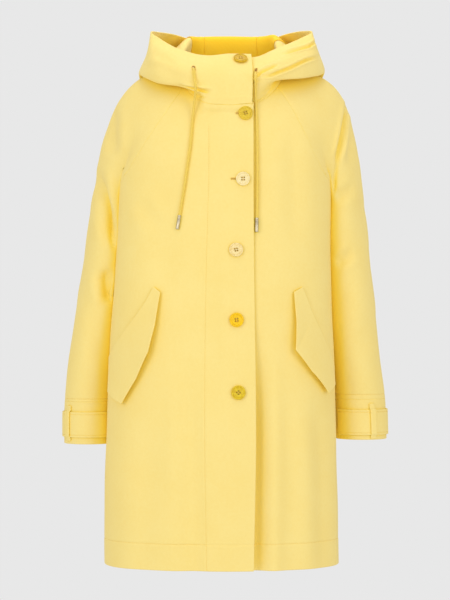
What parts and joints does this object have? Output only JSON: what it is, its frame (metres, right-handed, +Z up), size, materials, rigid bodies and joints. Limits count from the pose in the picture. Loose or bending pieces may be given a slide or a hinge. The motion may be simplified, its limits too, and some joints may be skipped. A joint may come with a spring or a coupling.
{
  "type": "hooded coat",
  "caption": "Straight wool coat with raglan sleeves, slanting pocket flaps and strapped cuffs, filled out as if worn, with its wide drawstring hood folded down.",
  "frame": {"origin": "middle of the neck opening, level with the seam under the hood; it is the mount neck_hold", "axes": "+Z up, towards the wearer's head; -Y forward, out of the buttoned front; +X the wearer's left"},
  "size_m": [0.6435, 0.3546, 1.0412],
  "materials": {
    "wool": "soft napped wool, pale yellow",
    "lining": "smooth woven lining, deep golden yellow",
    "button": "mottled, horn-like, polished",
    "cord": "braided cord",
    "metal": "satin"
  },
  "bodies": {
    "root": {"back": "wool", "front_left": "wool", "front_right": "wool", "sleeve_left": "wool", "sleeve_right": "wool", "cuff_left": "wool", "cuff_right": "wool", "cuff_strap_left": "wool", "cuff_strap_right": "wool", "cuff_loop_left": "wool", "cuff_loop_right": "wool", "hood_center": "wool", "hood_side_left": "wool", "hood_side_right": "wool", "pocket_flap_left": "wool", "pocket_flap_right": "wool", "hood_lining": "lining", "button_1": "button", "button_2": "button", "button_3": "button", "button_4": "button", "button_5": "button", "button_6": "button", "drawstring_left": "cord", "drawstring_right": "cord", "cord_tip_left": "metal", "cord_tip_right": "metal"}
  },
  "joints": []
}
